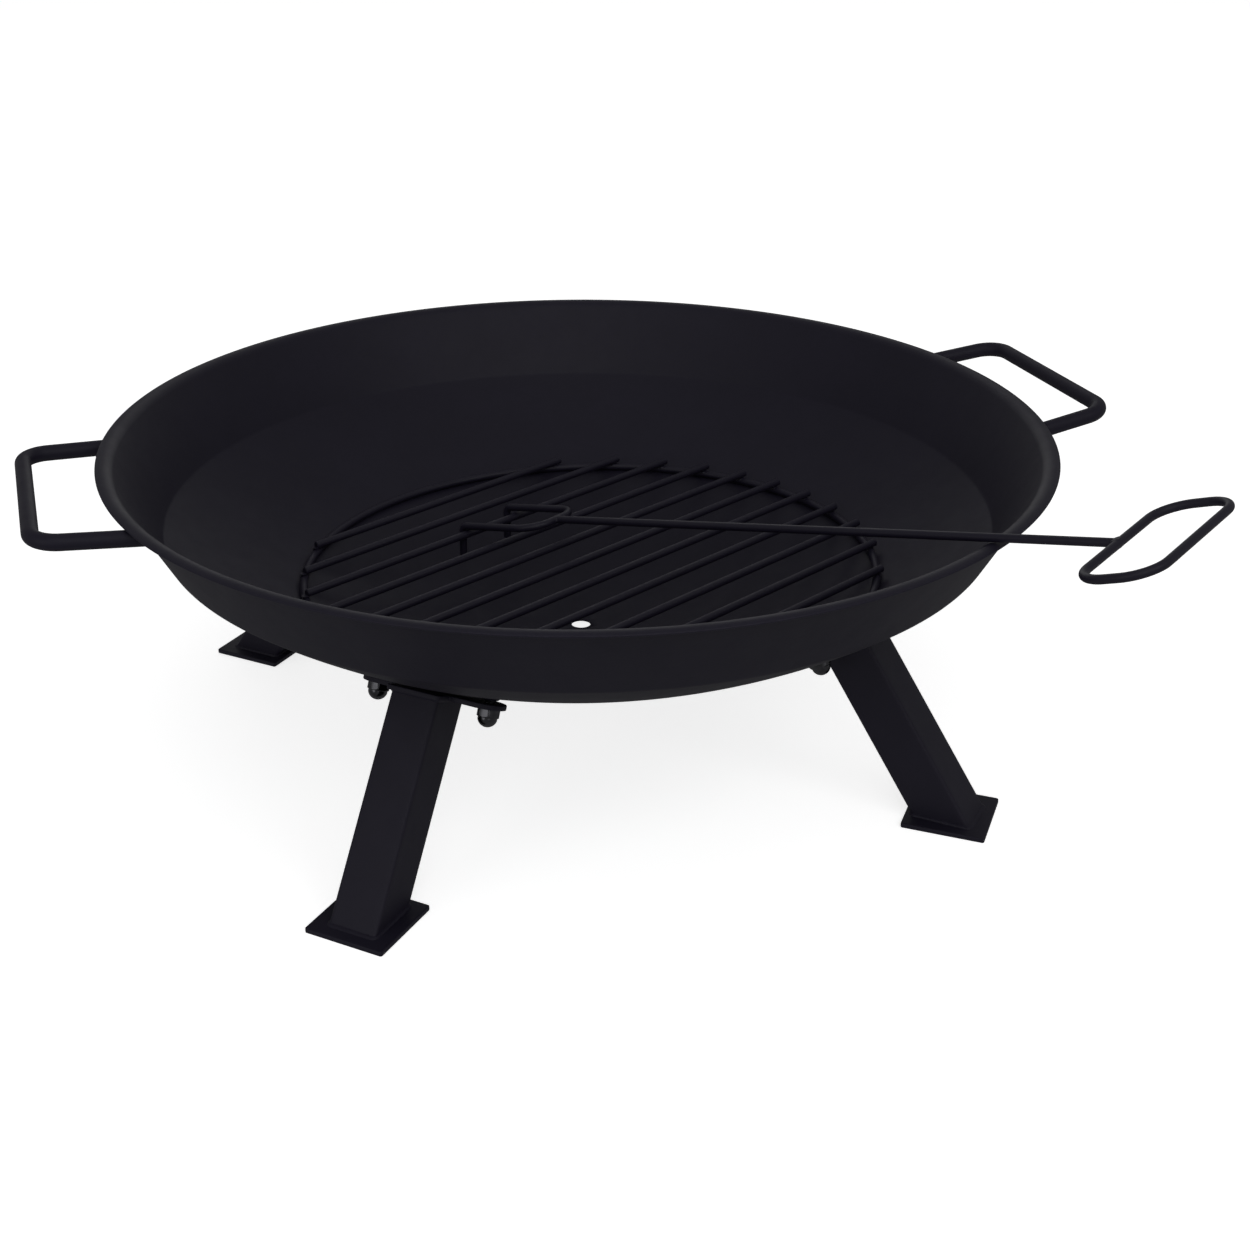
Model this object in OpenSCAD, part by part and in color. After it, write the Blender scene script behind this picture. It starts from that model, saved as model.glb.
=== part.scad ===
// Garden fire pit: a shallow steel bowl with a flared wall on four splayed square-tube legs,
// two bent-bar carrying handles, a loose round grate of parallel bars resting in the dish, and
// a fork-ended poker lying across the grate and over the rim.
// Units are millimetres. +Z is up. The bowl's axis is Z and the feet stand on z = 0.
// Each module below is one sub-part; NODES lists them and `node` picks one.

/* [Node] */
// Which sub-part to build; "all" builds the whole object

/* [Bowl] */
// Outer radius of the rim lip
rim_r = 300; // [200:500]
// Height of the crest of the lip above the ground
rim_z = 212.3; // [150:400]
// Sheet thickness of the bowl
sheet = 1.5; // [1:0.1:4]
// Inner radius of the spherical dish
dish_r = 438.5; // [300:800]
// Height of the inside of the dish at its centre
dish_z = 74.8; // [40:200]
// Lean of the flared wall away from vertical
wall_lean = 29.7; // [10:45]
// Outer radius of the rolled lip's cross-section
lip_r = 8; // [4:15]
// How far the lip curls past its crest
lip_curl = 30; // [10:60]
// Diameter of the drain hole in the middle of the dish
drain_d = 12.5; // [6:20]
// Place of the drain hole, a little off the middle
drain_pos = [1.9, -1.0]; // [-20:20]

/* [Handles] */
// Diameter of the handle bar
handle_d = 10; // [6:16]
// Azimuth of the right handle; the left one is opposite
handle_az = 17.1; // [0:360]
// Half of the length of a grip, between the corners of its centre line
handle_half = 73.3; // [50:120]
// How far the two arms of a handle spread towards the bowl
handle_splay = 4.5; // [0:0.5:15]
// Distance from the lip's inner side to the grip, along the sloping handle
handle_out = 54.2; // [30:80]
// Radius of the handle's corners, on the bar's centre line
handle_bend = 16.8; // [8:30]
// Height of the handle's centre line under the lip
handle_z = 204.2; // [150:260]
// Upward slopes of the left and the right handle
handle_rise = [2.2, 8.2]; // [0:20]

/* [Legs] */
// Azimuth of the first leg; the others follow every quarter turn
leg_az = -27.5; // [-180:180]
// Width of the square tube
tube_w = 31; // [20:50]
// Wall thickness of the square tube
tube_t = 2; // [1:0.5:4]
// Lean of the legs away from vertical
leg_lean = 32.9; // [0:45]
// Distance from the bowl axis to a leg's centre line at the ground
leg_r = 258.1; // [150:400]
// Side of a square foot plate
foot_w = 51; // [40:80]
// Thickness of a foot plate
foot_t = 3; // [2:6]
// Corner radius of a foot plate
foot_corner = 1.5; // [1:10]
// How far each foot plate was turned about its leg when welded on
foot_turn = [6, 0, 0, 0]; // [-15:15]

/* [Leg mounts] */
// Angle from the bowl axis, at the dish centre, of the line of studs
mount_angle = 24; // [10:35]
// Gap between the bowl and a mount plate
mount_gap = 2; // [1:10]
// Thickness of a mount plate
plate_t = 3; // [2:6]
// Width of a mount plate's arms
plate_w = 26; // [20:40]
// Half of the length of a mount plate
plate_half = 46.3; // [40:70]
// Half of the distance between the two studs of a leg
stud_half = 37; // [25:50]
// Diameter of a stud
stud_d = 8; // [6:12]
// Diameter of the weld collar where a stud meets the bowl
collar_d = 14; // [10:20]
// Width across flats of a dome nut
nut_af = 13; // [10:19]
// Height of the hexagonal part of a dome nut
nut_hex_h = 5; // [4:10]
// Whole height of a dome nut
nut_h = 11; // [9:18]

/* [Grate] */
// Diameter of the grate's wires
wire_d = 5; // [4:10]
// Radius of the grate ring, on its centre line
ring_r = 185; // [120:250]
// Number of parallel bars
bar_n = 11; // [5:21]
// Distance between neighbouring bars
bar_pitch = 29.8; // [15:45]
// How far a bar runs past the ring's centre line
bar_over = 1.5; // [0:12]
// How far the bars were set along their own direction when welded on
bar_slip = 2.5; // [-10:10]
// Direction of the bars
bar_az = 43.9; // [0:180]
// Distance the grate lies off the bowl axis
grate_off = 9.04; // [0:20]
// Direction in which the grate lies off the axis
grate_off_az = -32.8; // [-180:180]

/* [Poker] */
// Diameter of the poker's rod
rod_d = 5; // [4:10]
// Place of the middle of the fork's bend line
fork_pos = [-64.0, 62.0, 125.74]; // [-300:300]
// Direction in which the rod runs from the fork to the handle
rod_az = -40.75; // [-180:180]
// Upward slope of the rod
rod_rise = 13.11; // [0:40]
// Distance from the fork's bend line to the back of the fork
fork_len = 67.5; // [40:120]
// Half of the distance between the two prongs
fork_half = 22; // [10:40]
// Corner radius at the back of the fork, on the centre line
fork_bend = 16; // [6:20]
// Length of the turned-down tips, from the corner of the bend
tip_len = 22.5; // [8:40]
// Angle through which a tip turns down
tip_turn = 77; // [45:90]
// Bend radius where a tip turns down, on the centre line
tip_bend = 5; // [3:10]
// Distance from the fork's bend line to the near side of the handle loop
loop_pos = 466.8; // [300:600]
// Depth of the handle loop along the rod, on the centre line
loop_deep = 44.4; // [25:80]
// Half of the width of the handle loop across the rod, on the centre line
loop_half = 54; // [30:90]
// Radius of the loop's corners, on the centre line
loop_bend = 18; // [8:22]
// How far the loop is twisted about the rod
loop_twist = 3.5; // [0:0.5:15]
// How far the loop is bent up from the rod
loop_nod = 7.8; // [0:20]

/* [Hidden] */
$fn = 96;
eps = 0.05;
dish_c = dish_z + dish_r;               // height of the centre of the dish's sphere
lip_cr = rim_r - lip_r * sin(lip_curl); // centre of the lip's cross-section
lip_cz = rim_z - lip_r;
wa = wall_lean;
ti = [lip_cr - lip_r * cos(wa), lip_cz + lip_r * sin(wa)]; // inside top of the wall
to = [ti[0] + sheet * cos(wa), ti[1] - sheet * sin(wa)];   // outside top of the wall
mount_gap_n = dish_r + sheet + mount_gap; // sphere radius of a mount plate's upper face
plate_n = mount_gap_n + plate_t;          // and of its lower face
hexd = nut_af / cos(30);
ring_h = sqrt(pow(dish_r - wire_d / 2 - 0.25, 2) - ring_r * ring_r); // ring below the sphere centre
grate_tilt = asin(grate_off / ring_h);

black = [0.07, 0.068, 0.08];
steel = [0.20, 0.20, 0.21];

// ---------- helpers ----------
// round bar from the origin along +X
module rod_x(len, d) { rotate([0, 90, 0]) cylinder(h = len, d = d); }
// quarter or half bend in the XY plane about the origin, from angle a0 over da degrees
module bend(rad, d, a0, da) {
  rotate([0, 0, a0]) rotate_extrude(angle = da) translate([rad, 0]) circle(d = d);
}
// everything inside a surface that follows the outside of the bowl wall, g outside it
module wall_body(g) {
  z0 = 120; z1 = rim_z + 20;
  function rr(z) = to[0] + g / cos(wa) + (z - to[1]) * tan(wa);
  translate([0, 0, z0]) cylinder(h = z1 - z0, r1 = rr(z0), r2 = rr(z1));
}
// frame of a leg mount: origin on the dish's outer sphere, +Z away from the bowl, +X up the dish
module mount_frame(k) {
  rotate([0, 0, leg_az + 90 * (k - 1)]) translate([0, 0, dish_c])
    rotate([0, 180 - mount_angle, 0]) mirror([1, 0, 0]) children();
}
// frame of the grate: the dish's sphere carries it off the axis and tilts it to match
module grate_frame() {
  translate([0, 0, dish_c]) rotate([0, 0, grate_off_az]) rotate([0, -grate_tilt, 0])
    rotate([0, 0, -grate_off_az]) translate([0, 0, -ring_h]) children();
}
// frame of the poker: +X up the rod towards the handle, +Y across it
module poker_frame() { translate(fork_pos) rotate([0, -rod_rise, rod_az]) children(); }

// ---------- bowl ----------
module wall_side(rad, top, g) { // region inside one face of the sheet
  intersection() {
    translate([0, dish_c]) circle(r = rad);
    polygon([[0, 40], [top[0] - (top[1] - 40) * tan(wa), 40], top, g, [0, g[1]]]);
  }
}
module bowl() {
  color(black) difference() {
    rotate_extrude() {
      difference() {
        wall_side(dish_r + sheet, to, ti);
        wall_side(dish_r, ti, ti);
        translate([-dish_r, 0]) square([dish_r, 2 * dish_r]);
      }
      intersection() {
        translate([lip_cr, lip_cz]) difference() { circle(r = lip_r); circle(r = lip_r - sheet); }
        translate([lip_cr, lip_cz]) polygon([[0, 0], 20 * [-cos(wa), sin(wa)], [-10, 20], [0, 20],
          [20 * sin(lip_curl), 20 * cos(lip_curl)]]);
      }
    }
    translate([drain_pos[0], drain_pos[1], dish_z - 10]) cylinder(h = 20, d = drain_d);
  }
}

// ---------- handles ----------
module handle(rise) {
  turn = 90 - handle_splay;             // how far the bar turns at a corner
  t = handle_bend * tan(turn / 2);      // from a corner to where its bend starts
  color(black) difference() {
    translate([rim_r - 14, 0, handle_z]) rotate([0, -rise, 0]) {
      for (s = [-1, 1]) {
        translate([handle_out, s * handle_half, 0]) rotate([0, 0, 180 - s * handle_splay])
          translate([t, 0, 0]) rod_x((handle_out + 22) / cos(handle_splay) - t, handle_d);
        translate([handle_out - handle_bend, s * (handle_half - t), 0])
          bend(handle_bend, handle_d, s > 0 ? 0 : -turn, turn);
      }
      translate([handle_out, t - handle_half, 0]) rotate([0, 0, 90])
        rod_x(2 * (handle_half - t), handle_d);
    }
    wall_body(0.1);
  }
}
module handle_right() { rotate([0, 0, handle_az]) handle(handle_rise[1]); }
module handle_left() { rotate([0, 0, handle_az + 180]) handle(handle_rise[0]); }

// ---------- legs ----------
module leg_tube(k) {
  color(black) difference() {
    rotate([0, 0, leg_az + 90 * (k - 1)]) translate([leg_r, 0, 0]) rotate([0, -leg_lean, 0])
      difference() {
        translate([-tube_w / 2, -tube_w / 2, -40]) cube([tube_w, tube_w, 220]);
        translate([tube_t - tube_w / 2, tube_t - tube_w / 2, -41])
          cube([tube_w - 2 * tube_t, tube_w - 2 * tube_t, 222]);
      }
    translate([-500, -500, -100]) cube([1000, 1000, 100 + foot_t + eps]);
    mount_frame(k) translate([-80, -80, plate_n + eps - 100]) cube([160, 160, 100]);
  }
}
module foot_plate(k) {
  i = foot_w - 2 * foot_corner;
  color(black) rotate([0, 0, leg_az + 90 * (k - 1)]) translate([leg_r - 0.3, 0, 0])
    rotate([0, 0, foot_turn[k - 1]]) {
    translate([-foot_w / 2, -i / 2, 0]) cube([foot_w, i, foot_t]);
    translate([-i / 2, -foot_w / 2, 0]) cube([i, foot_w, foot_t]);
    for (x = [-1, 1], y = [-1, 1]) translate([x * i / 2, y * i / 2, 0])
      cylinder(h = foot_t, r = foot_corner);
  }
}
module mount_plate(k) {
  e = plate_half - plate_w / 2;
  color(black) mount_frame(k) translate([0, 0, mount_gap_n]) difference() {
    union() {
      translate([-plate_w / 2, -e, 0]) cube([plate_w, 2 * e, plate_t]);
      for (s = [-1, 1]) translate([0, s * e, 0]) cylinder(h = plate_t, d = plate_w);
      translate([0, -tube_w / 2 - 2, 0]) cube([25.5, tube_w + 4, plate_t]);
    }
    for (s = [-1, 1]) translate([0, s * stud_half, -1]) cylinder(h = plate_t + 2, d = stud_d + 0.6);
  }
}
module stud(k, s) {
  color(steel) mount_frame(k) translate([0, s * stud_half, 0]) {
    n0 = sqrt(pow(dish_r + sheet, 2) - pow(stud_half - collar_d / 2, 2)) + 0.1;
    translate([0, 0, n0]) cylinder(h = plate_n + nut_h - 3.5 - n0, d = stud_d);
    translate([0, 0, n0]) cylinder(h = 1.8, d1 = collar_d, d2 = stud_d + 0.4);
  }
}
module dome_nut(k, s) {
  color(steel) mount_frame(k) translate([0, s * stud_half, plate_n + eps]) difference() {
    union() {
      intersection() {
        rotate([0, 0, 30]) cylinder(h = nut_hex_h, d = hexd, $fn = 6);
        cylinder(h = nut_hex_h, r1 = hexd / 2 + nut_hex_h, r2 = nut_af / 2 + 0.1);
      }
      cylinder(h = nut_h - 5.2, d = 11.4);
      intersection() {
        translate([0, 0, nut_h - 5.9]) sphere(d = 11.8);
        translate([0, 0, nut_h - 5.2]) cylinder(h = 6, d = 11.4);
      }
    }
    translate([0, 0, -1]) cylinder(h = nut_h - 2, d = stud_d + 0.1);
  }
}

// ---------- grate ----------
module grate_ring() {
  color(black) grate_frame() rotate_extrude() translate([ring_r, 0]) circle(d = wire_d);
}
module grate_bar(i) {
  y = (i - (bar_n + 1) / 2) * bar_pitch;
  half = sqrt(pow(ring_r + bar_over, 2) - y * y);
  color(black) grate_frame() rotate([0, 0, bar_az]) translate([bar_slip - half, y, wire_d + eps])
    rod_x(2 * half, wire_d);
}

// ---------- poker ----------
module poker_rod() {
  color(black) poker_frame() translate([fork_len + rod_d / 2 + eps, 0, 0])
    rod_x(loop_pos - fork_len - rod_d - 2 * eps, rod_d);
}
module poker_fork() {
  color(black) poker_frame() {
    translate([fork_len, -(fork_half - fork_bend), 0]) rotate([0, 0, 90])
      rod_x(2 * (fork_half - fork_bend), rod_d);
    for (s = [-1, 1]) {
      translate([fork_len - fork_bend, s * (fork_half - fork_bend), 0])
        bend(fork_bend, rod_d, s > 0 ? 0 : -90, 90);
      translate([tip_bend, s * fork_half, 0]) rod_x(fork_len - fork_bend - tip_bend, rod_d);
      translate([tip_bend, s * fork_half, -tip_bend]) rotate([90, 0, 0]) {
        bend(tip_bend, rod_d, 90, tip_turn);
        rotate([0, 0, 90 + tip_turn]) translate([tip_bend, 0, 0]) rotate([-90, 0, 0])
          cylinder(h = tip_len - tip_bend * tan(tip_turn / 2), d = rod_d);
      }
    }
  }
}
module poker_loop() {
  a = loop_deep / 2 - loop_bend;
  b = loop_half - loop_bend;
  color(black) poker_frame() translate([loop_pos, 0, 0]) rotate([loop_twist, 0, 0])
    rotate([0, -loop_nod, 0]) translate([loop_deep / 2, 0, 0])
      for (s = [-1, 1]) {
        translate([s * loop_deep / 2, -b, 0]) rotate([0, 0, 90]) rod_x(2 * b, rod_d);
        translate([-a, s * loop_half, 0]) rod_x(2 * a, rod_d);
        for (t = [-1, 1]) translate([s * a, t * b, 0])
          bend(loop_bend, rod_d, s > 0 ? (t - 1) * 45 : 135 - t * 45, 90);
      }
}

// ---------- assembly ----------
bowl();
handle_left();
handle_right();
leg_tube(1);  // leg_tube_1
leg_tube(2);  // leg_tube_2
leg_tube(3);  // leg_tube_3
leg_tube(4);  // leg_tube_4
foot_plate(1);  // foot_plate_1
foot_plate(2);  // foot_plate_2
foot_plate(3);  // foot_plate_3
foot_plate(4);  // foot_plate_4
mount_plate(1);  // mount_plate_1
mount_plate(2);  // mount_plate_2
mount_plate(3);  // mount_plate_3
mount_plate(4);  // mount_plate_4
stud(1, -1);  // stud_1a
stud(1, 1);  // stud_1b
stud(2, -1);  // stud_2a
stud(2, 1);  // stud_2b
stud(3, -1);  // stud_3a
stud(3, 1);  // stud_3b
stud(4, -1);  // stud_4a
stud(4, 1);  // stud_4b
dome_nut(1, -1);  // dome_nut_1a
dome_nut(1, 1);  // dome_nut_1b
dome_nut(2, -1);  // dome_nut_2a
dome_nut(2, 1);  // dome_nut_2b
dome_nut(3, -1);  // dome_nut_3a
dome_nut(3, 1);  // dome_nut_3b
dome_nut(4, -1);  // dome_nut_4a
dome_nut(4, 1);  // dome_nut_4b
grate_ring();
grate_bar(1);  // grate_bar_01
grate_bar(2);  // grate_bar_02
grate_bar(3);  // grate_bar_03
grate_bar(4);  // grate_bar_04
grate_bar(5);  // grate_bar_05
grate_bar(6);  // grate_bar_06
grate_bar(7);  // grate_bar_07
grate_bar(8);  // grate_bar_08
grate_bar(9);  // grate_bar_09
grate_bar(10);  // grate_bar_10
grate_bar(11);  // grate_bar_11
poker_rod();
poker_fork();
poker_loop();
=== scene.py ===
"""The looks of a garden fire pit: a pressed steel bowl with welded handles on four bolted legs,
a loose grate and a loose poker.

Lengths are metres, in the frame of the CAD model. Places are measured on the CAD nodes themselves.
k is a leg's number, 1 to 4, and s the letter of one of its two studs.
"""

import math

import bmesh
import bpy
import numpy as np
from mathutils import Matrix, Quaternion, Vector
from mathutils.geometry import tessellate_polygon


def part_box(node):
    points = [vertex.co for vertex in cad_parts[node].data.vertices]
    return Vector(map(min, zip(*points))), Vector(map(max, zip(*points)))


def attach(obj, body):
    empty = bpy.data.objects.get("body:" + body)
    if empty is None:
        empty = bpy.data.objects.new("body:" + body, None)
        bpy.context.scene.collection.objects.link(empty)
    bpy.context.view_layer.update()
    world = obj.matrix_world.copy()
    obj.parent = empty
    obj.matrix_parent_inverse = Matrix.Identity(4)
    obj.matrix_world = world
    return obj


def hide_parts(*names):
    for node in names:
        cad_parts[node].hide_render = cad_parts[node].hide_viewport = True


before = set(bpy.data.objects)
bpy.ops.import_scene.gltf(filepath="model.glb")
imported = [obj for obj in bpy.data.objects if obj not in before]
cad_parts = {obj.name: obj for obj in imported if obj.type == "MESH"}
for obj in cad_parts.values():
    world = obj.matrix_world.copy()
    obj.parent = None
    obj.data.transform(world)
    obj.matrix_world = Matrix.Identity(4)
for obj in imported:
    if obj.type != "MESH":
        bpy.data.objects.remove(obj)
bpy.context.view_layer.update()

# ---------- sizes that the nodes' places don't give ----------
SHEET = 0.0015  # bowl sheet
DISH_R = 0.4385  # inside of the spherical dish
WALL_LEAN = math.radians(29.7)  # flared wall, away from vertical
CREASE_R = 0.006  # inside radius of the crease between dish and wall
LIP_R = 0.008  # rolled lip, top side
LIP_CURL = math.radians(30)  # how far the lip turns past its crest
DRAIN_R = 0.00625  # drain hole
DRAIN_EDGE = 0.0003  # its broken edges
DRAIN_AT = np.array([0.0019, -0.0010, 0.0])  # its middle, off the bowl's axis
DRAIN_FADE = 0.0075, 0.04  # radii between which the sheet's shift with the hole fades out

HANDLE_RISE = {"left": math.radians(2.2), "right": math.radians(8.2)}
HANDLE_SPLAY = math.radians(4.5)  # how far a handle's arms spread towards the bowl
HANDLE_BEND = 0.0168

TUBE_W = 0.031  # legs
TUBE_T = 0.002
TUBE_CORNER = 0.0022
LEG_LEAN = math.radians(32.9)
PLATE_CORNER = 0.0015  # foot plates
FOOT_TURN = {1: math.radians(6)}  # a foot plate set askew on its leg
TAB_HALF = TUBE_W / 2 + 0.002  # half the width of a mount plate's tab, under the tube's end
TAB_CORNER = 0.002
TAB_NOTCH = 0.0012  # inner corner where the tab leaves the plate

STUD_R = 0.004
STUD_HOLE_R = STUD_R + 0.0003
THREAD_PITCH = 0.00125
THREAD_DEPTH = 0.61 * THREAD_PITCH
THREAD_START = 0.001  # plain length at the stud's foot
THREAD_FADE = 0.0008  # length over which the thread runs out
NUT_AF = 0.013  # across flats
NUT_HEX_H = 0.005
NUT_CHAMFER = 0.0011
NUT_COLLAR_R = 0.0057
NUT_DOME_R = 0.0059
NUT_WALL = 0.0025  # metal left over the blind bore
NUT_TURN = math.radians(30)
NUT_CROWN = 0.35  # how far the nut's flats are rounded over

FORK_BEND = 0.016
TIP_BEND = 0.005
TIP_LEAN = math.radians(13)  # how far a tip stops short of a right angle
LOOP_BEND = 0.018
LOOP_TWIST = math.radians(3.5)  # the poker's loop, turned about the rod
LOOP_NOD = math.radians(7.8)  # and bent up from it

# (size of the fillet, number of ripples round it)
HANDLE_WELD = 0.0024, 13
LEG_FOOT_WELD = 0.0014, 34
LEG_TOP_WELD = 0.0011, 30
STUD_WELD = 0.0021, 9
FORK_WELD = 0.0008, 8
LOOP_WELD = 0.0015, 8

CAMERA_AT = Vector((0.0, -1.1403, 0.6220))
CAMERA_AIM = Vector((0.0, 0.0, 0.2119))
CAMERA_ROLL = -0.0048
CAMERA_LENS = 54.69
CAMERA_SHIFT = 0.0382, -0.1576

UP = np.array([0.0, 0.0, 1.0])


# ---------- measuring the CAD nodes ----------
def unit(v):
    return np.asarray(v, float) / np.linalg.norm(v)


def upward(v):
    return v if v @ UP > 0 else -v


def points(node):
    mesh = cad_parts[node].data
    co = np.empty(len(mesh.vertices) * 3)
    mesh.vertices.foreach_get("co", co)
    return co.reshape(-1, 3)


def extent(node, direction):
    """How far a node reaches along a direction: (least, most)."""
    along = points(node) @ direction
    return along.min(), along.max()


def spread(node):
    """The node's own directions: its longest, its middling and its thinnest."""
    co = points(node)
    co = co - co.mean(0)
    return np.linalg.eigh(co.T @ co)[1].T[::-1]


def round_bar(node):
    """(one end, other end, radius) of a straight round bar."""
    axis = spread(node)[0]
    co = points(node)
    middle = co.mean(0)
    middle = middle - axis * (middle @ axis)
    low, high = extent(node, axis)
    radius = np.linalg.norm(co - middle - np.outer(co @ axis, axis), axis=1).max()
    return middle + low * axis, middle + high * axis, radius


def radial(azimuth):
    return np.array([math.cos(azimuth), math.sin(azimuth), 0.0])


def spokes(x, y, count):
    """Directions evenly round a circle in the plane of x and y."""
    return [math.cos(a) * x + math.sin(a) * y for a in 2 * math.pi * np.arange(count) / count]


def square_to(axis):
    """Two directions square to an axis and to each other."""
    x = unit(np.cross(axis, UP if abs(axis @ UP) < 0.9 else [1, 0, 0]))
    return x, np.cross(axis, x)


# ---------- mesh helpers ----------
def make(name, verts, faces, material, body, slot, stands_for=(), sharp=35):
    """A new piece of the object from its points and faces, riding on a body."""
    mesh = bpy.data.meshes.new(name)
    mesh.from_pydata([tuple(map(float, v)) for v in verts], [], faces)
    mesh.validate()
    mesh.shade_smooth()
    mesh.set_sharp_from_angle(angle=math.radians(sharp))
    mesh.materials.append(material)
    piece = bpy.data.objects.new(name, mesh)
    bpy.context.scene.collection.objects.link(piece)
    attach(piece, body)
    if stands_for:
        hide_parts(*stands_for)
    return piece


def joined(parts):
    """Several (points, faces) as one."""
    verts, faces = [], []
    for v, f in parts:
        faces += [tuple(i + len(verts) for i in face) for face in f]
        verts += list(v)
    return verts, faces


def strip(a, b, n):
    """Quads between the rings that start at points a and b, with n points each."""
    return [(a + i, a + (i + 1) % n, b + (i + 1) % n, b + i) for i in range(n)]


def rings_to_mesh(rings, start=None, end=None, loop=False):
    """A skin over rings of equally many points; start and end are the points that close it."""
    n = len(rings[0])
    verts = [p for ring in rings for p in ring]
    faces = []
    for k in range(len(rings) - 1):
        faces += strip(k * n, (k + 1) * n, n)
    if loop:
        faces += strip((len(rings) - 1) * n, 0, n)
    if start is not None:
        verts.append(start)
        faces += [(len(verts) - 1, (i + 1) % n, i) for i in range(n)]
    if end is not None:
        verts.append(end)
        base = (len(rings) - 1) * n
        faces += [(len(verts) - 1, base + i, base + (i + 1) % n) for i in range(n)]
    return verts, faces


def lathe(profile, sides, closed=True):
    """Turns (radius, height) points about Z."""
    turn = [radial(2 * math.pi * i / sides) for i in range(sides)]
    rings = [[r * t + UP * z for t in turn] for r, z in profile]
    return rings_to_mesh(rings, loop=closed)


def arc(centre, radius, a0, a1, steps):
    """Points on a circle in a plane, from angle a0 to a1."""
    turn = np.linspace(a0, a1, steps + 1)
    return [(centre[0] + radius * math.cos(a), centre[1] + radius * math.sin(a)) for a in turn]


def rounded(corners, bends, closed=False, step=math.radians(7.5)):
    """A path through corners, each turned with its own radius; a radius of 0 keeps the corner."""
    corners = [np.asarray(c, float) for c in corners]
    count = len(corners)
    path = []
    for i, (here, bend) in enumerate(zip(corners, bends)):
        if bend == 0 or (not closed and i in (0, count - 1)):
            path.append(here)
            continue
        back, on = unit(corners[i - 1] - here), unit(corners[(i + 1) % count] - here)
        half = math.acos(np.clip(back @ on, -1, 1)) / 2
        middle = here + unit(back + on) * bend / math.sin(half)
        first = here + back * bend / math.tan(half)
        side, ahead = unit(first - middle), -back
        total = math.pi - 2 * half
        steps = max(2, round(total / step))
        for k in range(steps + 1):
            turn = total * k / steps
            path.append(middle + bend * (side * math.cos(turn) + ahead * math.sin(turn)))
    kept = [path[0]]
    for p in path[1:]:
        if np.linalg.norm(p - kept[-1]) > 1e-6:
            kept.append(p)
    if closed and np.linalg.norm(kept[0] - kept[-1]) < 1e-6:
        kept.pop()
    return kept


def sweep(path, radius, sides=24, closed=False, chamfer=0.0004, face=None):
    """A round bar along a path, its cut ends lightly broken, or seated on a face."""
    path = [np.asarray(p, float) for p in path]
    count = len(path)
    if closed:
        ahead = [unit(path[(i + 1) % count] - path[i - 1]) for i in range(count)]
    else:
        ahead = [unit(path[min(i + 1, count - 1)] - path[max(i - 1, 0)]) for i in range(count)]
    across = square_to(ahead[0])[0]
    stations = []
    for p, d in zip(path, ahead):
        across = unit(across - d * (across @ d))
        stations.append((p, d, spokes(across, np.cross(d, across), sides)))

    def ring(station, size, shift=0.0):
        p, d, outs = station
        return [p + d * shift + size * out for out in outs]

    if closed:
        return rings_to_mesh([ring(station, radius) for station in stations], loop=True)
    first, last = stations[0], stations[-1]
    body = [ring(station, radius) for station in stations[1:-1]]
    if face is not None:
        ends = [[meet(p, end[1], face) for p in ring(end, radius)] for end in (first, last)]
        middles = [meet(end[0], end[1], face) for end in (first, last)]
        return rings_to_mesh([ends[0], *body, ends[1]], start=middles[0], end=middles[1])
    body = [ring(first, radius - chamfer), ring(first, radius, chamfer), *body]
    body += [ring(last, radius, -chamfer), ring(last, radius - chamfer)]
    return rings_to_mesh(body, start=path[0], end=path[-1])


def plate(outline, holes, frame_of, thickness, edge=0.0005, steps=3):
    """A flat plate with rounded edges. Outlines are 2D; frame_of is (origin, x, y, normal)."""
    origin, x, y, normal = frame_of
    loops = [np.array(outline)] + [np.array(h) for h in holes]
    area = [np.cross(loop, np.roll(loop, -1, 0)).sum() for loop in loops]
    loops = [
        loop if (a > 0) == (i == 0) else loop[::-1] for i, (loop, a) in enumerate(zip(loops, area))
    ]  # the outline runs one way round and the holes the other

    def inset(loop, by):
        before, after = loop - np.roll(loop, 1, 0), np.roll(loop, -1, 0) - loop
        before /= np.linalg.norm(before, axis=1)[:, None]
        after /= np.linalg.norm(after, axis=1)[:, None]
        out = np.c_[(before + after)[:, 1], -(before + after)[:, 0]]
        out /= (np.linalg.norm(out, axis=1) ** 2 / 2)[:, None]
        return loop - out * by

    turn = np.linspace(0, math.pi / 2, steps + 1)
    levels = [(edge * (1 - math.sin(a)), edge * (1 - math.cos(a))) for a in turn]
    levels += [(by, thickness - z) for by, z in reversed(levels)]
    verts, faces, flat = [], [], [[], []]
    for loop in loops:
        base = len(verts)
        n = len(loop)
        for k, (by, z) in enumerate(levels):
            moved = inset(loop, by)
            verts += [origin + p[0] * x + p[1] * y + z * normal for p in moved]
            if k:
                faces += strip(base + (k - 1) * n, base + k * n, n)
            if k in (0, len(levels) - 1):
                edge_points = [(Vector((*p, 0)), base + k * n + i) for i, p in enumerate(moved)]
                flat[k > 0].append(edge_points)
    for top, found in enumerate(flat):
        ids = [i for loop in found for _, i in loop]
        for tri in tessellate_polygon([[p for p, _ in loop] for loop in found]):
            a, b, c = (Vector(verts[ids[t]]) for t in tri)
            up = (b - a).cross(c - a).dot(Vector(normal)) > 0
            face = tuple(ids[t] for t in tri)
            faces.append(face if up == bool(top) else face[::-1])
    return verts, faces


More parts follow.
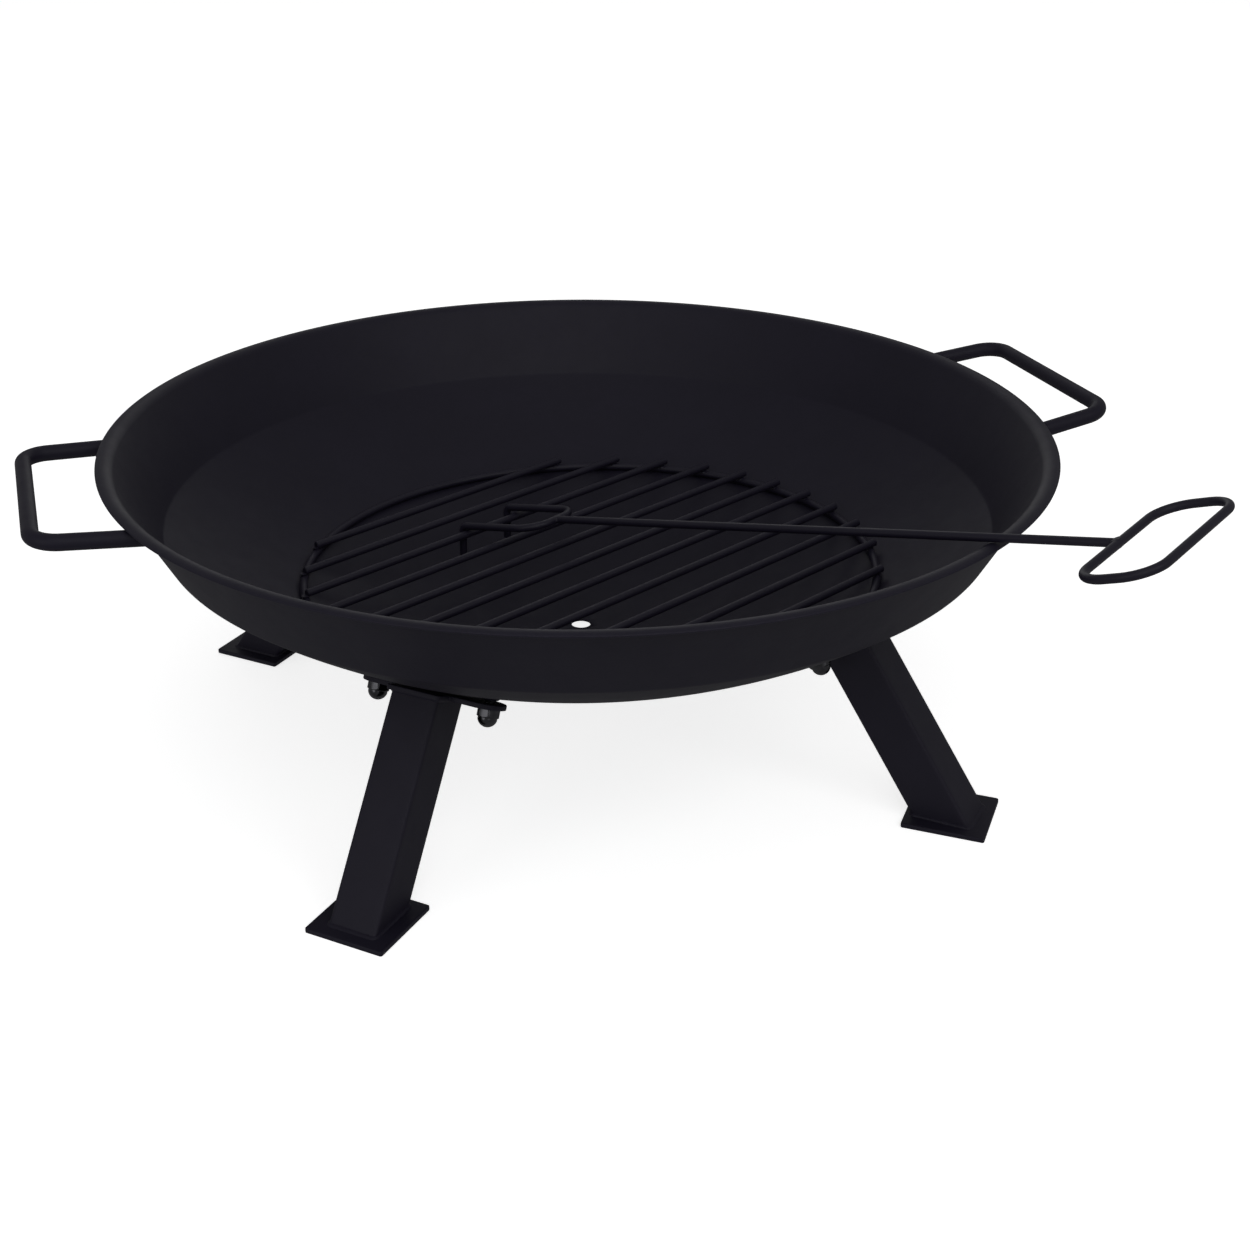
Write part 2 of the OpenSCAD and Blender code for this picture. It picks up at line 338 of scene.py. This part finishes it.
def outward(verts, faces):
    """Turns all faces of closed skins to face out."""
    mesh = bpy.data.meshes.new("check")
    mesh.from_pydata([tuple(map(float, v)) for v in verts], [], faces)
    work = bmesh.new()
    work.from_mesh(mesh)
    bmesh.ops.recalc_face_normals(work, faces=work.faces)
    faces = [tuple(v.index for v in f.verts) for f in work.faces]
    work.free()
    bpy.data.meshes.remove(mesh)
    return verts, faces


def meet(p, axis, face):
    """Where the line through p along axis meets a face; face(p) is (distance outside, normal)."""
    for _ in range(12):
        gap, normal = face(p)
        p = p - axis * gap / (normal @ axis)
    return p


# ---------- welds ----------
def bead(joints, size, ripples, wobble=0.14):
    """A closed fillet weld. A joint is (point, direction up one part, direction on the other)."""
    n = len(joints)
    turn = np.linspace(0, math.pi / 2, 7)
    rings = []
    for i, (p, a, b) in enumerate(joints):
        phase = 2 * math.pi * i / n
        wave = 0.55 * math.sin(ripples * phase) + 0.45 * math.sin(3 * phase + 1.1)
        w = size * (1 + wobble * wave)
        skin = [p + w * (a * math.cos(t) ** 1.5 + b * math.sin(t) ** 1.5) for t in turn]
        rings.append([p - 0.35 * size * unit(a + b)] + skin)
    return outward(*rings_to_mesh(rings, loop=True))


def butt_weld(origin, axis, outline, face, size, ripples):
    """The weld where a bar's end meets a face. outline gives the bar's (offset, outward) pairs."""
    joints = []
    for offset, out in outline:
        p = meet(origin + offset, axis, face)
        normal = face(p)[1]
        joints.append((p, axis, unit(out - normal * (out @ normal))))
    return bead(joints, size, ripples)


def circle_outline(axis, radius, steps=64):
    """A circle square to an axis as (offset, outward) pairs."""
    return [(radius * out, out) for out in spokes(*square_to(axis), steps)]


def square_outline(x, y, half, corner, steps=6, per_side=10):
    """A rounded square as (offset, outward) pairs."""
    found = []
    for q in range(4):
        c, s = round(math.cos(q * math.pi / 2)), round(math.sin(q * math.pi / 2))
        u, v = c * x + s * y, -s * x + c * y
        for k in range(1, per_side):
            along = (2 * k / per_side - 1) * (half - corner)
            found.append((half * u + along * v, u))
        for k in range(steps + 1):
            a = math.pi / 2 * k / steps
            out = math.cos(a) * u + math.sin(a) * v
            found.append(((half - corner) * (u + v) + corner * out, out))
    return found


def plane_at(point, normal):
    return lambda p: ((p - point) @ normal, normal)


def cylinder_at(point, axis, radius):
    def distance(p):
        away = (p - point) - axis * ((p - point) @ axis)
        return np.linalg.norm(away) - radius, unit(away)
    return distance


# ---------- materials ----------
def nodes_of(name):
    material = bpy.data.materials.new(name)
    material.use_nodes = True
    tree = material.node_tree
    shader = tree.nodes["Principled BSDF"]
    place = tree.nodes.new("ShaderNodeTexCoord").outputs["Object"]
    return material, tree, shader, place


def noise(tree, place, scale, detail=3.0, rough=0.5):
    node = tree.nodes.new("ShaderNodeTexNoise")
    node.inputs["Scale"].default_value = scale
    node.inputs["Detail"].default_value = detail
    node.inputs["Roughness"].default_value = rough
    tree.links.new(place, node.inputs["Vector"])
    return node.outputs["Fac"]


def ramp(tree, value, stops):
    node = tree.nodes.new("ShaderNodeValToRGB")
    marks = node.color_ramp.elements
    while len(marks) < len(stops):
        marks.new(0.5)
    for mark, (at, colour) in zip(marks, stops):
        mark.position = at
        mark.color = (*colour, 1.0)
    tree.links.new(value, node.inputs["Fac"])
    return node.outputs["Color"]


def remap(tree, value, low, high, start=0.3, stop=0.7):
    node = tree.nodes.new("ShaderNodeMapRange")
    node.inputs["From Min"].default_value = start
    node.inputs["From Max"].default_value = stop
    node.inputs["To Min"].default_value = low
    node.inputs["To Max"].default_value = high
    tree.links.new(value, node.inputs["Value"])
    return node.outputs["Result"]


def bump(tree, height, depth, strength, below=None):
    node = tree.nodes.new("ShaderNodeBump")
    node.inputs["Strength"].default_value = strength
    node.inputs["Distance"].default_value = depth
    tree.links.new(height, node.inputs["Height"])
    if below is not None:
        tree.links.new(below, node.inputs["Normal"])
    return node.outputs["Normal"]


def satin_paint(name, tone, rough, gloss):
    """Black heat-proof paint: cloudy film, fine orange peel and a finer grain."""
    material, tree, shader, place = nodes_of(name)
    tone = np.array(tone)
    cloud = 0.06  # how much the film's colour varies
    clouds = noise(tree, place, 22, detail=5, rough=0.6)
    stops = [(0.30, tone * (1 - cloud)), (0.52, tone), (0.74, tone * (1 + 1.4 * cloud))]
    tree.links.new(ramp(tree, clouds, stops), shader.inputs["Base Color"])
    smears = noise(tree, place, 55, detail=6, rough=0.65)
    tree.links.new(remap(tree, smears, rough - 0.03, rough + 0.03), shader.inputs["Roughness"])
    shader.inputs["Specular IOR Level"].default_value = gloss
    peel = bump(tree, noise(tree, place, 620, detail=2), 0.00012, 0.35)
    grain = bump(tree, noise(tree, place, 2600, detail=2), 0.00004, 0.5, below=peel)
    tree.links.new(grain, shader.inputs["Normal"])
    return material


def dark_steel(name, tone, rough):
    """Blackened metal with a slight patchy shine."""
    material, tree, shader, place = nodes_of(name)
    tone = np.array(tone)
    patches = noise(tree, place, 300, detail=4, rough=0.6)
    stops = [(0.3, tone * 0.75), (0.7, tone * 1.25)]
    tree.links.new(ramp(tree, patches, stops), shader.inputs["Base Color"])
    tree.links.new(remap(tree, patches, rough - 0.05, rough + 0.08), shader.inputs["Roughness"])
    shader.inputs["Metallic"].default_value = 1.0
    tree.links.new(bump(tree, noise(tree, place, 1800), 0.00003, 0.25), shader.inputs["Normal"])
    return material


BLACK = (0.0106, 0.0090, 0.0185)
WIRE_BLACK = np.array(BLACK) * 1.05
PAINT = {
    "bowl_paint": satin_paint("bowl_paint", BLACK, 0.54, 0.22),
    "handle_paint": satin_paint("handle_paint", BLACK, 0.55, 0.20),
    "leg_paint": satin_paint("leg_paint", BLACK, 0.60, 0.24),
    "grate_paint": satin_paint("grate_paint", WIRE_BLACK, 0.50, 0.25),
    "poker_paint": satin_paint("poker_paint", WIRE_BLACK, 0.48, 0.24),
    "stud_steel": dark_steel("stud_steel", (0.050, 0.050, 0.056), 0.35),
    "nut_steel": dark_steel("nut_steel", (0.060, 0.060, 0.065), 0.19),
}


# ---------- bowl ----------
rim_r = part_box("bowl")[1].x
rim_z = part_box("bowl")[1].z
dish_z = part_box("bowl")[0].z + SHEET
dish_c = dish_z + DISH_R
lean_out = np.array([math.cos(WALL_LEAN), -math.sin(WALL_LEAN)])
lean_up = np.array([math.sin(WALL_LEAN), math.cos(WALL_LEAN)])
lip_c = np.array([rim_r - LIP_R * math.sin(LIP_CURL), rim_z - LIP_R])
wall_top = lip_c - LIP_R * lean_out


def wall_radius(z, outside=0.0):
    """Radius of the wall's inside face at a height, or of a face that far outside it."""
    return wall_top[0] + outside / lean_out[0] + (z - wall_top[1]) * math.tan(WALL_LEAN)


def crease_centre():
    """Centre of the crease's arc: CREASE_R inside both the wall and the dish."""
    start = wall_top - CREASE_R * lean_out - np.array([0, dish_c])
    along = start @ lean_up
    drop = along + math.sqrt(along**2 - start @ start + (DISH_R - CREASE_R) ** 2)
    return start + np.array([0, dish_c]) - drop * lean_up


def bowl_profile():
    """(radius, height) points round the sheet's section: inside, lip, outside, drain hole."""
    crease = crease_centre()
    dish_angle = math.atan2(crease[1] - dish_c, crease[0])
    wall_angle = -WALL_LEAN
    crest = math.acos((rim_r - SHEET / 2 - lip_c[0]) / (LIP_R - SHEET / 2))
    lip_start = math.pi - WALL_LEAN
    sphere = (0, dish_c)

    def dish(radius):
        first = -math.acos((DRAIN_R + DRAIN_EDGE) / radius)
        return arc(sphere, radius, first, dish_angle, 44)

    inside = dish(DISH_R) + arc(crease, CREASE_R, dish_angle, wall_angle, 8)[1:]
    inside += arc(lip_c, LIP_R, lip_start, crest, 14)
    end = lip_c + (LIP_R - SHEET / 2) * np.array([math.cos(crest), math.sin(crest)])
    edge = arc(end, SHEET / 2, crest, crest - math.pi, 8)[1:-1]
    outside = arc(lip_c, LIP_R - SHEET, crest, lip_start, 12)
    outside += arc(crease, CREASE_R + SHEET, wall_angle, dish_angle, 8)
    outside += dish(DISH_R + SHEET)[-2::-1]
    hole_z = dish_z + DRAIN_R**2 / 2 / DISH_R
    hole = [(DRAIN_R, hole_z - SHEET + DRAIN_EDGE), (DRAIN_R, hole_z - DRAIN_EDGE)]
    return inside + edge + outside + hole


def bowl():
    verts, faces = outward(*lathe(bowl_profile(), 288))
    near, far = DRAIN_FADE
    blend = [(far - math.hypot(v[0], v[1])) / (far - near) for v in verts]
    verts = [v + DRAIN_AT * min(1.0, max(0.0, b)) for v, b in zip(verts, blend)]
    make("bowl_shell", verts, faces, PAINT["bowl_paint"], "stand", "bowl_paint", ["bowl"], sharp=50)


def wall_face(p):
    """Distance outside the bowl's wall, and its normal."""
    r = math.hypot(p[0], p[1])
    out = np.array([p[0] / r, p[1] / r, 0.0])
    normal = out * lean_out[0] + UP * lean_out[1]
    return (r - wall_radius(p[2], SHEET)) * lean_out[0], normal


def dish_face(p):
    away = p - UP * dish_c
    return np.linalg.norm(away) - DISH_R - SHEET, unit(away)


# ---------- handles ----------
def handle_direction(node):
    """From the bowl's axis through the middle of a handle."""
    out = np.array(sum(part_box(node), Vector())) / 2 * [1, 1, 0]
    for _ in range(6):  # turned until the handle lies evenly on both sides
        ahead = unit(out)
        beside = np.cross(UP, ahead)
        out = ahead * sum(extent(node, ahead)) / 2 + beside * sum(extent(node, beside)) / 2
    return unit(out)


def handle(side):
    node = f"handle_{side}"
    out = handle_direction(node)
    across = np.cross(UP, out)
    slope = out * math.cos(HANDLE_RISE[side]) + UP * math.sin(HANDLE_RISE[side])
    normal = upward(unit(np.cross(slope, across)))
    low, high = extent(node, normal)
    bar_r = (high - low) / 2
    level = (high + low) / 2 * normal
    grip = extent(node, slope)[1] - bar_r
    beside = across * math.cos(HANDLE_SPLAY) + slope * math.sin(HANDLE_SPLAY)  # square to an arm
    reach = extent(node, beside)[1] - bar_r
    half = (reach - grip * math.sin(HANDLE_SPLAY)) / math.cos(HANDLE_SPLAY)
    arms = [slope * math.cos(HANDLE_SPLAY) - s * across * math.sin(HANDLE_SPLAY) for s in (-1, 1)]
    corners = [level + slope * grip + s * across * half for s in (-1, 1)]
    feet = [meet(corner, arm, wall_face) for corner, arm in zip(corners, arms)]
    path = [feet[0], *corners, feet[1]]
    path = rounded(path, [0, HANDLE_BEND, HANDLE_BEND, 0], step=math.radians(5))
    verts, faces = outward(*sweep(path, bar_r, sides=32, face=wall_face))
    make(f"{node}_bar", verts, faces, PAINT["handle_paint"], "stand", "handle_paint", [node])
    welds = []
    for end, arm in zip(feet, arms):
        welds.append(butt_weld(end, arm, circle_outline(arm, bar_r), wall_face, *HANDLE_WELD))
    make(f"{node}_welds", *joined(welds), PAINT["handle_paint"], "stand", "handle_paint")


# ---------- legs ----------
def leg_frame(k):
    """(centre of the foot plate, direction away from the bowl's axis, direction across)."""
    low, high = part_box(f"foot_plate_{k}")
    centre = np.array((low + high) / 2)
    out = unit([centre[0], centre[1], 0])
    return centre, out, np.cross(UP, out)


def mount_frame(k):
    """(middle of the plate's upper face, direction up the dish, across, away from the bowl)."""
    node = f"mount_plate_{k}"
    normal = -upward(spread(node)[2])
    across = leg_frame(k)[2]
    up_dish = np.cross(across, normal)
    up_dish = up_dish if up_dish @ leg_frame(k)[1] > 0 else -up_dish
    across = np.cross(normal, up_dish)
    centre = sum(points(f"stud_{k}{s}").mean(0) for s in "ab") / 2
    centre = centre + normal * (extent(node, normal)[0] - centre @ normal)
    return centre, up_dish, across, normal


def leg(k):
    _, out, across = leg_frame(k)
    axis = UP * math.cos(LEG_LEAN) - out * math.sin(LEG_LEAN)
    side = np.cross(across, axis)
    node = f"leg_tube_{k}"
    low, high = extent(node, side)
    origin = side * (low + high) / 2 + across * sum(extent(node, across)) / 2
    away = mount_frame(k)[3]
    under = plane_at(away * extent(f"mount_plate_{k}", away)[1], away)
    foot_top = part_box(f"foot_plate_{k}")[1].z
    floor = plane_at(UP * foot_top, UP)
    outer = square_outline(side, across, TUBE_W / 2, TUBE_CORNER)
    inner = square_outline(side, across, TUBE_W / 2 - TUBE_T, TUBE_CORNER - TUBE_T)

    def cut(outline, face):
        return [meet(origin + offset, axis, face) for offset, _ in outline]

    rings = [cut(outer, floor), cut(outer, under), cut(inner, under), cut(inner, floor)]
    verts, faces = outward(*rings_to_mesh(rings, loop=True))
    make(f"leg_{k}_tube", verts, faces, PAINT["leg_paint"], "stand", "leg_paint", [node], sharp=50)
    welds = [
        butt_weld(origin, axis, outer, floor, *LEG_FOOT_WELD),
        butt_weld(origin, -axis, outer, under, *LEG_TOP_WELD),
    ]
    make(f"leg_{k}_welds", *joined(welds), PAINT["leg_paint"], "stand", "leg_paint")


def foot(k):
    centre, out, across = leg_frame(k)
    turn = FOOT_TURN.get(k, 0.0)
    out = out * math.cos(turn) + across * math.sin(turn)
    across = np.cross(UP, out)
    node = f"foot_plate_{k}"
    half = np.ptp(extent(node, out)) / 2
    low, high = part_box(node)
    thickness = high.z - low.z
    corners = [(-half, -half), (half, -half), (half, half), (-half, half)]
    outline = rounded(corners, [PLATE_CORNER] * 4, closed=True)
    origin = centre - UP * thickness / 2
    verts, faces = outward(*plate(outline, [], (origin, out, across, UP), thickness))
    make(f"foot_{k}", verts, faces, PAINT["leg_paint"], "stand", "leg_paint", [node], sharp=50)


def mount(k):
    origin, up_dish, across, normal = mount_frame(k)
    node = f"mount_plate_{k}"
    thickness = np.ptp(extent(node, normal))
    half = np.ptp(extent(node, across)) / 2
    arm = origin @ up_dish - extent(node, up_dish)[0]
    tab = extent(node, up_dish)[1] - origin @ up_dish
    corners = [(arm, TAB_HALF), (arm, half), (-arm, half), (-arm, -half)]
    corners += [(arm, -half), (arm, -TAB_HALF), (tab, -TAB_HALF), (tab, TAB_HALF)]
    bends = [TAB_NOTCH, arm, arm, arm, arm, TAB_NOTCH, TAB_CORNER, TAB_CORNER]
    outline = rounded(corners, bends, closed=True)
    holes = []
    for s in "ab":
        at = points(f"stud_{k}{s}").mean(0) - origin
        holes.append(arc((at @ up_dish, at @ across), STUD_HOLE_R, 0, 2 * math.pi, 32)[:-1])
    verts, faces = outward(*plate(outline, holes, (origin, up_dish, across, normal), thickness))
    make(f"mount_{k}", verts, faces, PAINT["leg_paint"], "stand", "leg_paint", [node], sharp=50)


def stud(k, s):
    """A threaded stud with its weld on the bowl."""
    node = f"stud_{k}{s}"
    _, x, y, axis = mount_frame(k)
    low, high = extent(node, axis)
    middle = points(node).mean(0)
    base = middle + axis * (low - middle @ axis)
    length = high - low
    sides, per_turn = 36, 8
    outs = spokes(x, y, sides)
    steps = math.ceil(length / THREAD_PITCH * per_turn)
    rings = []
    for j in range(steps + 1):
        h = length * j / steps
        run_in = max(0.0, (h - THREAD_START) / THREAD_FADE)
        run_out = max(0.0, (length - h) / THREAD_FADE)
        fade = min(1.0, run_in, run_out)
        depth = 0.9 * THREAD_DEPTH if h > THREAD_START else 0.0
        ring = []
        for i, out in enumerate(outs):
            saw = abs(2 * ((h / THREAD_PITCH - i / sides) % 1) - 1)
            r = STUD_R - depth * (1 - fade * min(1.0, 1.25 * saw))
            ring.append(base + axis * h + r * out)
        rings.append(ring)
    skin = outward(*rings_to_mesh(rings, start=base, end=base + axis * length))
    make(f"stud_{k}{s}_thread", *skin, PAINT["stud_steel"], "stand", "stud_steel", [node])
    weld = butt_weld(base, axis, circle_outline(axis, STUD_R), dish_face, *STUD_WELD)
    make(f"stud_{k}{s}_weld", *weld, PAINT["bowl_paint"], "stand", "bowl_paint")


def nut(k, s):
    """A dome nut: chamfered hexagon, collar, dome and blind bore."""
    node = f"dome_nut_{k}{s}"
    _, x, y, axis = mount_frame(k)
    low, high = extent(node, axis)
    middle = points(f"stud_{k}{s}").mean(0)
    base = middle + axis * (low - middle @ axis)
    height = high - low
    sides = 96
    turn = 2 * math.pi * np.arange(sides) / sides
    outs = spokes(x, y, sides)

    def hexagon(a):
        flat = 1 / math.cos(((a + NUT_TURN) % (math.pi / 3)) - math.pi / 6)
        return NUT_AF / 2 * (flat - NUT_CROWN * (flat - 1))

    def ring(h, limit):
        sizes = [min(hexagon(a), limit) for a in turn]
        return [base + axis * h + r * out for r, out in zip(sizes, outs)]

    half_af = NUT_AF / 2
    corner = hexagon(-NUT_TURN)
    side = corner - 0.00008  # the corners' long edges are broken by this much
    rings = [ring(height - NUT_WALL, STUD_R + 0.00005), ring(0.0, STUD_R + 0.00005)]
    rings += [ring(0.0, half_af - 0.0002), ring(0.0002, corner - 0.0003), ring(0.0004, side)]
    for i in range(9):
        h = NUT_HEX_H - NUT_CHAMFER + NUT_CHAMFER * i / 8
        rings.append(ring(h, side - (corner - half_af) * (i / 8) ** 1.3 * 1.02))
    rings.append(ring(NUT_HEX_H + 0.00005, half_af - 0.0004))
    rings.append(ring(NUT_HEX_H + 0.0001, NUT_COLLAR_R + 0.0002))
    rings.append(ring(NUT_HEX_H + 0.0003, NUT_COLLAR_R))
    dome_c = height - NUT_DOME_R
    first = math.acos(NUT_COLLAR_R / NUT_DOME_R)
    for a in np.linspace(first, math.pi / 2, 14)[:-1]:
        rings.append(ring(dome_c + NUT_DOME_R * math.sin(a), NUT_DOME_R * math.cos(a)))
    bore_end = base + axis * (height - NUT_WALL)
    skin = outward(*rings_to_mesh(rings, start=bore_end, end=base + axis * height))
    make(f"nut_{k}{s}", *skin, PAINT["nut_steel"], "stand", "nut_steel", [node], sharp=28)


# ---------- grate ----------
def grate():
    low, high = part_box("grate_ring")
    centre = np.array((low + high) / 2)
    normal = upward(spread("grate_ring")[2])
    wire_r = np.ptp(extent("grate_ring", normal)) / 2
    x = unit(np.cross([0, 1, 0], normal))
    y = np.cross(normal, x)
    ring_r = np.ptp(extent("grate_ring", x)) / 2 - wire_r
    path = [centre + ring_r * out for out in spokes(x, y, 180)]
    skin = outward(*sweep(path, wire_r, sides=20, closed=True))
    make("grate_ring_wire", *skin, PAINT["grate_paint"], "grate", "grate_paint", ["grate_ring"])
    nuggets = []
    bars = sorted(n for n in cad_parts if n.startswith("grate_bar"))
    for node in bars:
        start, end, bar_r = round_bar(node)
        skin = outward(*sweep([start, end], bar_r, sides=24, chamfer=0.0005))
        name = node.replace("grate_bar", "grate_rod")
        make(name, *skin, PAINT["grate_paint"], "grate", "grate_paint", [node])
        along = unit(end - start)
        middle = (start + end) / 2 - centre
        off = middle - normal * (middle @ normal) - along * (middle @ along)
        reach = math.sqrt(ring_r**2 - off @ off)
        for s in (-1, 1):
            at = centre + off + s * reach * along + normal * wire_r
            nuggets.append(nugget(at, normal, along))
    make("grate_welds", *joined(nuggets), PAINT["grate_paint"], "grate", "grate_paint")


def nugget(at, normal, along):
    """The small collar of weld where a bar lies on the ring."""
    half_height, cap = 0.0017, 0.0014
    outs = spokes(along, np.cross(normal, along), 16)
    rings = []
    for t in np.linspace(-1, 1, 9)[1:-1]:
        r = 0.0030 - 0.0009 * math.cos(t * math.pi / 2)  # waisted between the two wires
        rings.append([at + normal * half_height * t + r * out for out in outs])
    return outward(*rings_to_mesh(rings, start=at - normal * cap, end=at + normal * cap))


# ---------- poker ----------
def poker():
    start, end, rod_r = round_bar("poker_rod")
    if np.linalg.norm(start[:2]) > np.linalg.norm(end[:2]):
        start, end = end, start
    ahead = unit(end - start)
    across = unit(np.cross(UP, ahead))
    above = np.cross(ahead, across)
    level = start @ above
    paint = PAINT["poker_paint"]

    def at(along, sideways=0.0, up=0.0):
        return ahead * along + across * (start @ across + sideways) + above * (level + up)

    back = start @ ahead - rod_r
    near = end @ ahead + rod_r
    skin = outward(*sweep([at(back), at(near)], rod_r))
    make("poker_shaft", *skin, paint, "poker", "poker_paint", ["poker_rod"])

    half = np.ptp(extent("poker_fork", across)) / 2 - rod_r
    tip = extent("poker_fork", ahead)[0] + rod_r * math.cos(TIP_LEAN)
    down = extent("poker_fork", above)[0] - level + rod_r * math.sin(TIP_LEAN)
    front = tip - down * math.tan(TIP_LEAN)
    corners = [at(tip, half, down), at(front, half), at(back, half)]
    corners += [at(back, -half), at(front, -half), at(tip, -half, down)]
    path = rounded(corners, [0, TIP_BEND, FORK_BEND, FORK_BEND, TIP_BEND, 0], step=math.radians(6))
    skin = outward(*sweep(path, rod_r))
    make("poker_prongs", *skin, paint, "poker", "poker_paint", ["poker_fork"])

    loop_across = across * math.cos(LOOP_TWIST) + above * math.sin(LOOP_TWIST)
    loop_above = above * math.cos(LOOP_TWIST) - across * math.sin(LOOP_TWIST)
    loop_ahead = ahead * math.cos(LOOP_NOD) + loop_above * math.sin(LOOP_NOD)
    deep = np.ptp(extent("poker_loop", loop_ahead)) - 2 * rod_r
    wide = np.ptp(extent("poker_loop", loop_across)) / 2 - rod_r
    sides = ((0, -wide), (deep, -wide), (deep, wide), (0, wide))
    corners = [at(near) + loop_ahead * d + loop_across * w for d, w in sides]
    path = rounded(corners, [LOOP_BEND] * 4, closed=True, step=math.radians(5))
    skin = outward(*sweep(path, rod_r, closed=True))
    make("poker_handle", *skin, paint, "poker", "poker_paint", ["poker_loop"])

    outline = circle_outline(ahead, rod_r, 48)
    inward = 0.004  # the welds' outlines start this far along the rod
    fork_wire = cylinder_at(at(back), across, rod_r)
    loop_wire = cylinder_at(at(near), loop_across, rod_r)
    welds = [
        butt_weld(at(back + inward), ahead, outline, fork_wire, *FORK_WELD),
        butt_weld(at(near - inward), -ahead, outline, loop_wire, *LOOP_WELD),
    ]
    make("poker_welds", *joined(welds), paint, "poker", "poker_paint")


# ---------- stage ----------
def stage_piece(name, verts, faces, glow):
    """Part of the pale surround; it throws no light back on the black paint."""
    mesh = bpy.data.meshes.new(name)
    mesh.from_pydata([tuple(v) for v in verts], [], [tuple(f) for f in faces])
    piece = bpy.data.objects.new(name, mesh)
    bpy.context.scene.collection.objects.link(piece)
    material = bpy.data.materials.new(f"{name}_white")
    material.use_nodes = True
    shader = material.node_tree.nodes["Principled BSDF"]
    shader.inputs["Base Color"].default_value = (0.86, 0.86, 0.86, 1)
    shader.inputs["Roughness"].default_value = 0.9
    shader.inputs["Specular IOR Level"].default_value = 0.1
    shader.inputs["Emission Color"].default_value = (1, 1, 1, 1)
    shader.inputs["Emission Strength"].default_value = glow
    mesh.materials.append(material)
    piece.visible_diffuse = False
    piece.visible_glossy = False
    return piece


def stage():
    wide, tall = 12.0, 9.0
    corners = [(-wide, -wide, 0), (wide, -wide, 0), (wide, wide, 0), (-wide, wide, 0)]
    stage_piece("floor", corners, [(0, 1, 2, 3)], 0.75)
    backdrop = stage_piece("backdrop", *lathe([(wide, 0), (wide, tall)], 96, closed=False), 0.85)
    backdrop.visible_shadow = False  # only the camera sees it, so it changes no light


def soft_disc(name, azimuth, height, power):
    """A round soft light 3 m away, azimuth 0 being the viewer's side."""
    azimuth, height = math.radians(azimuth), math.radians(height)
    level = math.cos(height)
    away = Vector((math.sin(azimuth) * level, -math.cos(azimuth) * level, math.sin(height)))
    data = bpy.data.lights.new(name, "AREA")
    data.shape = "DISK"
    data.size = 1.6
    data.energy = power
    lamp = bpy.data.objects.new(name, data)
    lamp.location = away * 3.0 + Vector((0, 0, 0.1))
    lamp.rotation_mode = "QUATERNION"
    lamp.rotation_quaternion = (-away).to_track_quat("-Z", "Y")
    bpy.context.scene.collection.objects.link(lamp)


def lights():
    """An even pale surround, darker low down behind the object, and eight soft discs."""
    world = bpy.data.worlds.new("studio")
    world.use_nodes = True
    tree = world.node_tree
    background = tree.nodes["Background"]
    direction = tree.nodes.new("ShaderNodeTexCoord").outputs["Generated"]
    shade = tree.nodes.new("ShaderNodeVectorMath")
    shade.operation = "DOT_PRODUCT"
    shade.inputs[1].default_value = (0, 0.76, -0.65)  # the middle of the darker part
    tree.links.new(direction, shade.inputs[0])
    level = remap(tree, shade.outputs["Value"], 0.275, 0.13, start=0.72, stop=0.92)
    tree.links.new(level, background.inputs["Strength"])
    background.inputs["Color"].default_value = (1, 1, 1, 1)
    bpy.context.scene.world = world
    soft_disc("front", 0, 38, 9.2)
    soft_disc("upper_front", 0, 64, 2.2)
    soft_disc("low_right", 20, 15, 3.5)
    soft_disc("front_right", 45, 38, 8.8)
    soft_disc("low_left", -45, 15, 9.4)
    soft_disc("top", 0, 90, 2.5)
    soft_disc("low_back", 180, 15, 3.5)
    soft_disc("back", 180, 38, 0.9)


def camera():
    """Raised about 20 degrees, close, and turned a little."""
    data = bpy.data.cameras.new("camera")
    data.sensor_width = 36
    data.lens = CAMERA_LENS
    data.shift_x, data.shift_y = CAMERA_SHIFT
    view = bpy.data.objects.new("camera", data)
    view.location = CAMERA_AT
    view.rotation_mode = "QUATERNION"
    aimed = (CAMERA_AIM - CAMERA_AT).to_track_quat("-Z", "Y")
    view.rotation_quaternion = aimed @ Quaternion((0, 0, 1), CAMERA_ROLL)
    bpy.context.scene.collection.objects.link(view)
    bpy.context.scene.camera = view


camera()
stage()
lights()
bpy.context.scene.view_settings.view_transform = "Standard"
bowl()
for side in ("left", "right"):
    handle(side)
for k in (1, 2, 3, 4):
    leg(k)
    foot(k)
    mount(k)
    for s in "ab":
        stud(k, s)
        nut(k, s)
grate()
poker()
